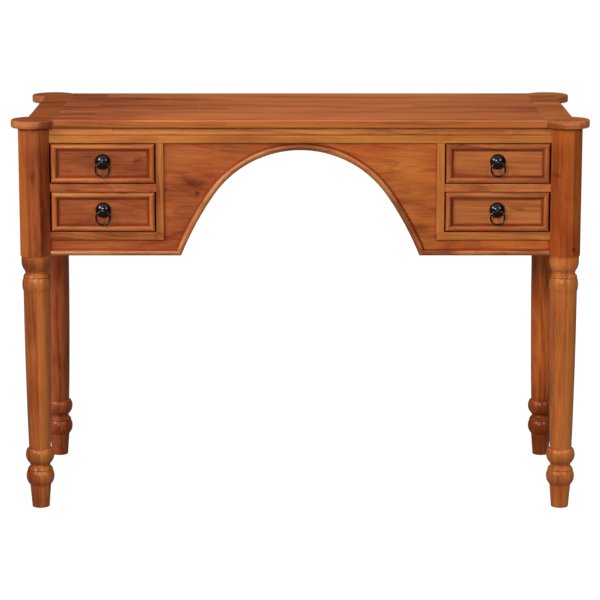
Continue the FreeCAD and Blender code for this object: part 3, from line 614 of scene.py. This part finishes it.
def dress_beads():
    """The bead's grain follows the arch, then runs straight along the foot. Painted shade darkens its outer
    crease, its crown and its right flank.
    """
    arcs, turn = arch_arcs()
    material, tree, place = new_material("edge_bead" + MAHOGANY)
    parts = add(tree, "ShaderNodeSeparateXYZ", {"Vector": place}).outputs
    aside = aside_of(tree, parts)
    angles = []
    acrosses = []
    runs = []
    for centre, radius, begin in arcs:
        right = add(tree, "ShaderNodeMath", {0: aside, 1: centre[0]}, operation="SUBTRACT").outputs[0]
        up = add(tree, "ShaderNodeMath", {0: parts["Z"], 1: centre[1]}, operation="SUBTRACT").outputs[0]
        angle = add(tree, "ShaderNodeMath", {0: right, 1: up}, operation="ARCTAN2").outputs[0]
        inputs = {0: angle, 1: radius, 2: begin}
        along = add(tree, "ShaderNodeMath", inputs, operation="MULTIPLY_ADD").outputs[0]
        spoke = add(tree, "ShaderNodeCombineXYZ", {"X": right, "Y": up}).outputs[0]
        far = add(tree, "ShaderNodeVectorMath", {0: spoke}, operation="LENGTH").outputs["Value"]
        across = add(tree, "ShaderNodeMath", {0: far, 1: radius}, operation="SUBTRACT").outputs[0]
        run = add(tree, "ShaderNodeCombineXYZ", {"X": along, "Y": across, "Z": parts["Y"]}).outputs[0]
        angles.append(angle)
        acrosses.append(across)
        runs.append(run)

    # Grain: round the crown, round each flank, straight along the foot, and backward along the sides
    past_crown = add(tree, "ShaderNodeMath", {0: angles[1], 1: turn}, operation="GREATER_THAN").outputs[0]
    arch = add(tree, "ShaderNodeMix", {"Factor": past_crown, "A": runs[0], "B": runs[1]}, data_type="VECTOR")
    foot = add(tree, "ShaderNodeMath", {0: parts["Z"], 1: BEAD_TOP}, operation="LESS_THAN").outputs[0]
    outside = add(tree, "ShaderNodeMath", {0: aside, 1: ARCH_HALF_WIDTH + MITRE_RUN / 2},
                  operation="GREATER_THAN").outputs[0]
    straight = add(tree, "ShaderNodeMath", {0: foot, 1: outside}, operation="MULTIPLY").outputs[0]
    lying = add(tree, "ShaderNodeMapping", {"Vector": place, "Rotation": ALONG_X, "Location": BEAD_SHIFT})
    inputs = {"Factor": straight, "A": arch.outputs["Result"], "B": lying.outputs[0]}
    grain = add(tree, "ShaderNodeMix", inputs, data_type="VECTOR").outputs["Result"]
    beside = add(tree, "ShaderNodeMath", {0: aside, 1: SIDE_FACE_X}, operation="GREATER_THAN").outputs[0]
    backward = add(tree, "ShaderNodeMapping", {"Vector": place, "Rotation": ALONG_Y, "Location": BEAD_SHIFT})
    grain = add(tree, "ShaderNodeMix", {"Factor": beside, "A": grain, "B": backward.outputs[0]},
                data_type="VECTOR").outputs["Result"]

    # Painted shade in the crease along the bead's outer edge
    inputs = {"Factor": straight, "A": ARCH_BEAD_WIDTH, "B": BEAD_TOP}
    rim = add(tree, "ShaderNodeMix", inputs).outputs["Result"]
    inputs = {"Factor": past_crown, "A": acrosses[0], "B": acrosses[1]}
    out = add(tree, "ShaderNodeMix", inputs).outputs["Result"]
    out = add(tree, "ShaderNodeMix", {"Factor": straight, "A": out, "B": parts["Z"]}).outputs["Result"]
    past_rim = add(tree, "ShaderNodeMath", {0: out, 1: rim}, operation="SUBTRACT").outputs[0]
    crease = add(tree, "ShaderNodeMapRange", {"Value": past_rim, "From Min": CREASE_SHADE_EDGES[0],
                                              "From Max": CREASE_SHADE_EDGES[1], "To Max": CREASE_SHADE_DEPTH}).outputs[0]
    stain = add(tree, "ShaderNodeMix", {"Factor": crease, "A": linear(STAINS["bead"]), "B": LIP_SHADE_SHIFT},
                data_type="RGBA", blend_type="MULTIPLY").outputs["Result"]
    tone = add_marks(tree, place, BEAD_SHADE_MARKS)[0]
    finish_wood(tree, grain, stain, tone)
    dress("edge_beads", material)


# Drawers and their pulls

GRIT_PER_MM = 0.7
CRYSTALS_PER_MM = 1.2
# Streaks of the drawer fronts, then broad changes of tone
DRAWER_MARKS = {
    "upper_left": [
        face_mark(-308.0, 682.0, 24.0, 8.0, -0.7, 5, -28),
        face_mark(-336.0, 668.0, 30.0, 9.0, -0.2, 4, -28),
        face_mark(-330.0, 678.0, 110.0, 90.0, -0.4),
    ],
    "upper_right": [],
    "lower_left": [
        face_mark(-395.0, 566.0, 40.0, 10.0, -0.25, 5, -18),
        face_mark(-376.0, 578.0, 260.0, 90.0, 0.2),
    ],
    "lower_right": [
        face_mark(415.0, 589.0, 26.0, 6.0, -0.4, 4, 8),
    ],
}
# Boldness and stretch of each bank's figure, and how deep the painted shadow is on the moulding lips away
# from the left strip
DRAWER_WOODS = {
    "left": {"bold": 0.9, "stretch": 1.2, "lip_shade_elsewhere": 0.95},
    "right": {"bold": 0.7, "stretch": 3.0, "lip_shade_elsewhere": 0.75},
}
RAIL_MARKS = [
    face_mark(-376.0, 630.0, 140.0, 90.0, -0.6),
    face_mark(376.0, 630.0, 140.0, 90.0, 0.35),
]


def black_iron():
    """Cast iron under glossy black enamel, rubbed brown in spots: near black, with sharp small highlights."""
    material, tree, place = new_material("black_enamelled_iron")
    inputs = {"Vector": place, "Scale": GRIT_PER_MM, "Detail": 4.0}
    grit = add(tree, "ShaderNodeTexNoise", inputs).outputs["Fac"]
    rubbed = add(tree, "ShaderNodeMapRange", {"Value": grit, "From Min": 0.56, "From Max": 0.82})
    colour = add(tree, "ShaderNodeMix", {"Factor": rubbed.outputs[0], "A": linear("#050404"),
                                         "B": linear("#22170f")}, data_type="RGBA")
    rough = add(tree, "ShaderNodeMapRange", {"Value": grit, "To Min": 0.14, "To Max": 0.26})
    relief = add(tree, "ShaderNodeBump", {"Height": grit, "Strength": 0.12, "Distance": 0.0003})
    surface = add(tree, "ShaderNodeBsdfPrincipled", {
        "Base Color": colour.outputs["Result"], "Roughness": rough.outputs[0], "Normal": relief.outputs[0],
        "IOR": 1.5})
    add(tree, "ShaderNodeOutputMaterial", {"Surface": surface.outputs[0]})
    return material


def zinc_steel():
    """Zinc-plated steel: a cool grey with faint crystals."""
    material, tree, place = new_material("zinc_plated_steel")
    inputs = {"Vector": place, "Scale": CRYSTALS_PER_MM}
    crystals = add(tree, "ShaderNodeTexVoronoi", inputs).outputs["Distance"]
    rough = add(tree, "ShaderNodeMapRange", {"Value": crystals, "To Min": 0.3, "To Max": 0.5})
    colour = add(tree, "ShaderNodeMix", {"Factor": crystals, "A": linear("#c3c5c7"), "B": linear("#9a9da0")},
                 data_type="RGBA")
    surface = add(tree, "ShaderNodeBsdfPrincipled", {
        "Base Color": colour.outputs["Result"], "Roughness": rough.outputs[0], "Metallic": 1.0})
    add(tree, "ShaderNodeOutputMaterial", {"Surface": surface.outputs[0]})
    return material


def dress_moulding(drawer, stain, shift, lip_shade_elsewhere):
    """Half-round strips, mitred at the corners. Painted shadow darkens the low inner lip, most on the left
    strip, where the strip's shadow falls.
    """
    node = drawer + "_drawer_moulding"
    material, tree, place = new_material(drawer + "_moulding" + MAHOGANY)
    parts = add(tree, "ShaderNodeSeparateXYZ", {"Vector": place}).outputs
    low, high = box_mm(node)
    middle = (low + high) / 2
    half = (high - low) / 2
    gaps = []
    shares = []
    for axis, centre, reach in (("X", middle.x, half.x), ("Z", middle.z, half.z)):
        off = add(tree, "ShaderNodeMath", {0: parts[axis], 1: centre}, operation="SUBTRACT").outputs[0]
        shares.append(add(tree, "ShaderNodeMath", {0: off, 1: reach}, operation="DIVIDE").outputs[0])
        off = add(tree, "ShaderNodeMath", {0: off}, operation="ABSOLUTE").outputs[0]
        gaps.append(add(tree, "ShaderNodeMath", {0: reach, 1: off}, operation="SUBTRACT").outputs[0])
    stands = add(tree, "ShaderNodeMath", {0: gaps[0], 1: gaps[1]}, operation="LESS_THAN").outputs[0]
    inset = add(tree, "ShaderNodeMath", {0: gaps[0], 1: gaps[1]}, operation="MINIMUM").outputs[0]
    at_left = add(tree, "ShaderNodeMath", {0: shares[0], 1: shares[1]}, operation="LESS_THAN").outputs[0]
    at_left = add(tree, "ShaderNodeMath", {0: at_left, 1: stands}, operation="MULTIPLY").outputs[0]
    depth = add(tree, "ShaderNodeMapRange", {"Value": at_left, "To Min": lip_shade_elsewhere, "To Max": 1.0}).outputs[0]
    # Painted shadow on the inner lip, deepest on the left strip and lighter on the others
    lip = add(tree, "ShaderNodeMapRange", {"Value": inset, "From Min": ROUND_WIDTH - LIP_BLEND,
                                           "From Max": ROUND_WIDTH, "To Max": depth}).outputs[0]
    stained = add(tree, "ShaderNodeMix", {"Factor": lip, "A": linear(stain), "B": LIP_SHADE_SHIFT},
                  data_type="RGBA", blend_type="MULTIPLY").outputs["Result"]
    finish_wood(tree, strip_grain(tree, place, stands, shift), stained)
    dress(node, material)


def dress_drawers():
    """Mahogany fronts and rails, pale pine linings and runners, iron pulls and zinc-plated screws."""
    iron = black_iron()
    lining = plain_wood("drawer_lining_pine", ALONG_Y, (0.0, 0.0, 40.0), STAINS["lining"],
                        bold=0.5, stretch=2.5)
    for index, (drawer, marks) in enumerate(DRAWER_MARKS.items()):
        side = drawer.split("_")[1]
        look = DRAWER_WOODS[side]
        cut = (430.0 * index, -620.0 + 37.0 * index, 24.0 * index)
        wood = plain_wood(drawer + "_front" + MAHOGANY, ALONG_X, cut, STAINS["drawer_" + side], marks,
                          bold=look["bold"], stretch=look["stretch"])
        dress(drawer + "_drawer_front", wood)
        cut = (260.0 * index, 15.0 * index, 8.0)
        dress_moulding(drawer, STAINS["moulding_" + side], cut, look["lip_shade_elsewhere"])
        for piece in ("inner_side", "outer_side", "back", "bottom"):
            dress(drawer + "_drawer_" + piece, lining)
        for piece in ("boss", "post", "ring"):
            dress(drawer + "_pull_" + piece, iron)
    rails = plain_wood("drawer_rail" + MAHOGANY, ALONG_X, (120.0, -640.0, 12.0), STAINS["rail"], RAIL_MARKS)
    dress("drawer_rails", rails)
    for node in ("drawer_runners", "top_battens"):
        dress(node, lining)
    dress("top_screws", zinc_steel())


# Studio

def make_floor():
    """A matt white floor, lit to fade into the backdrop behind the desk."""
    bpy.ops.mesh.primitive_plane_add(size=FLOOR_SIZE, location=(0, 0, 0))
    floor = bpy.context.object
    floor.name = "studio_floor"
    material, tree, _ = new_material("matt_white_floor")
    seen = add(tree, "ShaderNodeLightPath").outputs["Is Camera Ray"]
    glow = add(tree, "ShaderNodeMath", {0: seen, 1: FLOOR_GLOW}, operation="MULTIPLY")
    surface = add(tree, "ShaderNodeBsdfPrincipled", {
        "Base Color": linear("#808080"), "Roughness": 0.9, "Specular IOR Level": 0.0,
        "Emission Color": (1.0, 1.0, 1.0, 1.0), "Emission Strength": glow.outputs[0]})
    add(tree, "ShaderNodeOutputMaterial", {"Surface": surface.outputs[0]})
    floor.data.materials.append(material)


def make_light():
    """Each softbox twice: for the top alone, where it would glare when seen from behind, and for all else."""
    top = bpy.data.collections.new("lit_without_glare")
    others = bpy.data.collections.new("lit_with_glare")
    for node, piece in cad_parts.items():
        lit = top if node in TOP_PIECES else others
        lit.objects.link(piece)
    others.objects.link(bpy.data.objects["studio_floor"])
    for name, box in SOFTBOXES.items():
        for lit, glossy in ((top, False), (others, box["glossy"])):
            lamp = bpy.data.lights.new(name, "AREA")
            lamp.size = box["size"]
            lamp.energy = box["power"]
            holder = bpy.data.objects.new(name, lamp)
            bpy.context.scene.collection.objects.link(holder)
            holder.location = box["place"]
            aim = Vector(LIGHT_AIM) - Vector(box["place"])
            holder.rotation_euler = aim.to_track_quat("-Z", "Y").to_euler()
            holder.visible_glossy = glossy
            holder.light_linking.receiver_collection = lit


def make_room():
    """White to the camera, and otherwise dim near the horizon and lighter overhead and in a spot behind."""
    world = bpy.data.worlds.new("studio_room")
    world.use_nodes = True
    tree = world.node_tree
    tree.nodes.clear()
    seen = add(tree, "ShaderNodeLightPath").outputs["Is Camera Ray"]
    where = add(tree, "ShaderNodeTexCoord").outputs["Generated"]
    height = add(tree, "ShaderNodeSeparateXYZ", {"Vector": where}).outputs["Z"]
    inputs = {"Value": height, "From Min": ROOM_RISE[0], "From Max": ROOM_RISE[1],
              "To Min": ROOM_LOW, "To Max": ROOM_HIGH}
    overhead = add(tree, "ShaderNodeMapRange", inputs, interpolation_type="SMOOTHSTEP")
    behind = add(tree, "ShaderNodeVectorMath", {0: where, 1: BACK_GLOW_AIM}, operation="DOT_PRODUCT")
    inputs = {"Value": behind.outputs["Value"], "From Min": BACK_GLOW_EDGE, "From Max": 1.0,
              "To Max": BACK_GLOW}
    glow = add(tree, "ShaderNodeMapRange", inputs, interpolation_type="SMOOTHSTEP")
    room = add(tree, "ShaderNodeMath", {0: overhead.outputs[0], 1: glow.outputs[0]}, operation="ADD")
    inputs = {"Factor": seen, "A": room.outputs[0], "B": 1.0}
    strength = add(tree, "ShaderNodeMix", inputs).outputs["Result"]
    backdrop = add(tree, "ShaderNodeBackground", {"Color": (1, 1, 1, 1), "Strength": strength})
    add(tree, "ShaderNodeOutputWorld", {"Surface": backdrop.outputs[0]})
    bpy.context.scene.world = world
    bpy.context.scene.view_settings.view_transform = "Standard"


def make_camera():
    camera = bpy.data.cameras.new("camera")
    camera.lens = CAMERA_LENS
    camera.sensor_width = CAMERA_SENSOR
    holder = bpy.data.objects.new("camera", camera)
    bpy.context.scene.collection.objects.link(holder)
    holder.location = CAMERA_PLACE
    holder.rotation_euler = (math.radians(90) - CAMERA_TILT, 0, 0)
    bpy.context.scene.camera = holder


dress_top()
dress_legs()
dress_boards()
dress_frame_strips()
dress_frieze_strips()
dress_beads()
dress_drawers()
make_floor()
make_light()
make_room()
make_camera()
